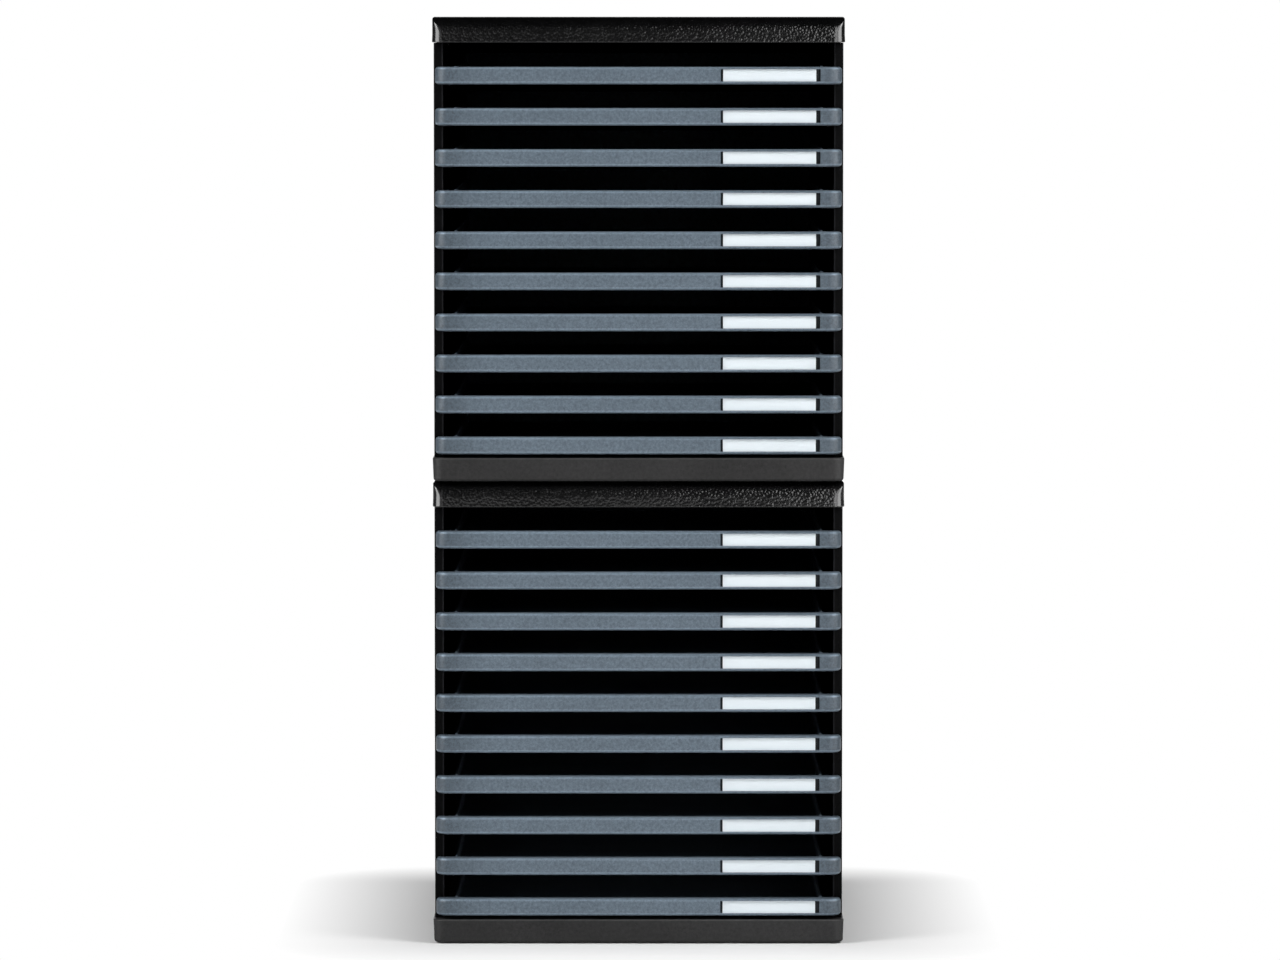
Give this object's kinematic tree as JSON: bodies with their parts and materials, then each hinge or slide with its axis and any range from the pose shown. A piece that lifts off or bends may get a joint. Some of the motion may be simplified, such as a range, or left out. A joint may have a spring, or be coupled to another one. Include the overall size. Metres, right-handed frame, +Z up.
{
  "type": "desktop drawer unit",
  "caption": "Tower of stacked desktop drawer units with black casings, open-fronted grey sliding drawers and white label cards.",
  "frame": {"origin": "under the middle of the tower, on the surface that the lower unit's feet stand on", "axes": "+Z up, -Y the way the fronts face and the drawers pull out, +X to the right as seen from the front"},
  "size_m": [0.284, 0.35, 0.6401],
  "materials": {
    "lid": "grained black plastic",
    "plinth": "satin black plastic",
    "panel": "matt black plastic",
    "drawer": "finely grained grey plastic",
    "label": "plain white card",
    "foot": "matt black rubber"
  },
  "bodies": {
    "lower_casing": {"lower_base": "plinth", "lower_left_side": "panel", "lower_right_side": "panel", "lower_back_panel": "panel", "lower_lid": "lid", "lower_foot_front_left": "foot", "lower_foot_front_right": "foot", "lower_foot_back_left": "foot", "lower_foot_back_right": "foot"},
    "lower_drawer_01": {"lower_drawer_01": "drawer", "lower_label_01": "label"},
    "lower_drawer_02": {"lower_drawer_02": "drawer", "lower_label_02": "label"},
    "lower_drawer_03": {"lower_drawer_03": "drawer", "lower_label_03": "label"},
    "lower_drawer_04": {"lower_drawer_04": "drawer", "lower_label_04": "label"},
    "lower_drawer_05": {"lower_drawer_05": "drawer", "lower_label_05": "label"},
    "lower_drawer_06": {"lower_drawer_06": "drawer", "lower_label_06": "label"},
    "lower_drawer_07": {"lower_drawer_07": "drawer", "lower_label_07": "label"},
    "lower_drawer_08": {"lower_drawer_08": "drawer", "lower_label_08": "label"},
    "lower_drawer_09": {"lower_drawer_09": "drawer", "lower_label_09": "label"},
    "lower_drawer_10": {"lower_drawer_10": "drawer", "lower_label_10": "label"},
    "upper_casing": {"upper_base": "plinth", "upper_left_side": "panel", "upper_right_side": "panel", "upper_back_panel": "panel", "upper_lid": "lid", "upper_foot_front_left": "foot", "upper_foot_front_right": "foot", "upper_foot_back_left": "foot", "upper_foot_back_right": "foot"},
    "upper_drawer_01": {"upper_drawer_01": "drawer", "upper_label_01": "label"},
    "upper_drawer_02": {"upper_drawer_02": "drawer", "upper_label_02": "label"},
    "upper_drawer_03": {"upper_drawer_03": "drawer", "upper_label_03": "label"},
    "upper_drawer_04": {"upper_drawer_04": "drawer", "upper_label_04": "label"},
    "upper_drawer_05": {"upper_drawer_05": "drawer", "upper_label_05": "label"},
    "upper_drawer_06": {"upper_drawer_06": "drawer", "upper_label_06": "label"},
    "upper_drawer_07": {"upper_drawer_07": "drawer", "upper_label_07": "label"},
    "upper_drawer_08": {"upper_drawer_08": "drawer", "upper_label_08": "label"},
    "upper_drawer_09": {"upper_drawer_09": "drawer", "upper_label_09": "label"},
    "upper_drawer_10": {"upper_drawer_10": "drawer", "upper_label_10": "label"}
  },
  "joints": [
    {"name": "lower_drawer_01_slide", "type": "slide", "parent": "lower_casing", "child": "lower_drawer_01", "axis": [0, -1, 0], "range_m": [0, 0.243]},
    {"name": "lower_drawer_02_slide", "type": "slide", "parent": "lower_casing", "child": "lower_drawer_02", "axis": [0, -1, 0], "range_m": [0, 0.243]},
    {"name": "lower_drawer_03_slide", "type": "slide", "parent": "lower_casing", "child": "lower_drawer_03", "axis": [0, -1, 0], "range_m": [0, 0.243]},
    {"name": "lower_drawer_04_slide", "type": "slide", "parent": "lower_casing", "child": "lower_drawer_04", "axis": [0, -1, 0], "range_m": [0, 0.243]},
    {"name": "lower_drawer_05_slide", "type": "slide", "parent": "lower_casing", "child": "lower_drawer_05", "axis": [0, -1, 0], "range_m": [0, 0.243]},
    {"name": "lower_drawer_06_slide", "type": "slide", "parent": "lower_casing", "child": "lower_drawer_06", "axis": [0, -1, 0], "range_m": [0, 0.243]},
    {"name": "lower_drawer_07_slide", "type": "slide", "parent": "lower_casing", "child": "lower_drawer_07", "axis": [0, -1, 0], "range_m": [0, 0.243]},
    {"name": "lower_drawer_08_slide", "type": "slide", "parent": "lower_casing", "child": "lower_drawer_08", "axis": [0, -1, 0], "range_m": [0, 0.243]},
    {"name": "lower_drawer_09_slide", "type": "slide", "parent": "lower_casing", "child": "lower_drawer_09", "axis": [0, -1, 0], "range_m": [0, 0.243]},
    {"name": "lower_drawer_10_slide", "type": "slide", "parent": "lower_casing", "child": "lower_drawer_10", "axis": [0, -1, 0], "range_m": [0, 0.243]},
    {"name": "upper_unit_lift", "type": "slide", "parent": "lower_casing", "child": "upper_casing", "axis": [0, 0, 1], "range_m": [0, 0.03]},
    {"name": "upper_drawer_01_slide", "type": "slide", "parent": "upper_casing", "child": "upper_drawer_01", "axis": [0, -1, 0], "range_m": [0, 0.243]},
    {"name": "upper_drawer_02_slide", "type": "slide", "parent": "upper_casing", "child": "upper_drawer_02", "axis": [0, -1, 0], "range_m": [0, 0.243]},
    {"name": "upper_drawer_03_slide", "type": "slide", "parent": "upper_casing", "child": "upper_drawer_03", "axis": [0, -1, 0], "range_m": [0, 0.243]},
    {"name": "upper_drawer_04_slide", "type": "slide", "parent": "upper_casing", "child": "upper_drawer_04", "axis": [0, -1, 0], "range_m": [0, 0.243]},
    {"name": "upper_drawer_05_slide", "type": "slide", "parent": "upper_casing", "child": "upper_drawer_05", "axis": [0, -1, 0], "range_m": [0, 0.243]},
    {"name": "upper_drawer_06_slide", "type": "slide", "parent": "upper_casing", "child": "upper_drawer_06", "axis": [0, -1, 0], "range_m": [0, 0.243]},
    {"name": "upper_drawer_07_slide", "type": "slide", "parent": "upper_casing", "child": "upper_drawer_07", "axis": [0, -1, 0], "range_m": [0, 0.243]},
    {"name": "upper_drawer_08_slide", "type": "slide", "parent": "upper_casing", "child": "upper_drawer_08", "axis": [0, -1, 0], "range_m": [0, 0.243]},
    {"name": "upper_drawer_09_slide", "type": "slide", "parent": "upper_casing", "child": "upper_drawer_09", "axis": [0, -1, 0], "range_m": [0, 0.243]},
    {"name": "upper_drawer_10_slide", "type": "slide", "parent": "upper_casing", "child": "upper_drawer_10", "axis": [0, -1, 0], "range_m": [0, 0.243]}
  ]
}
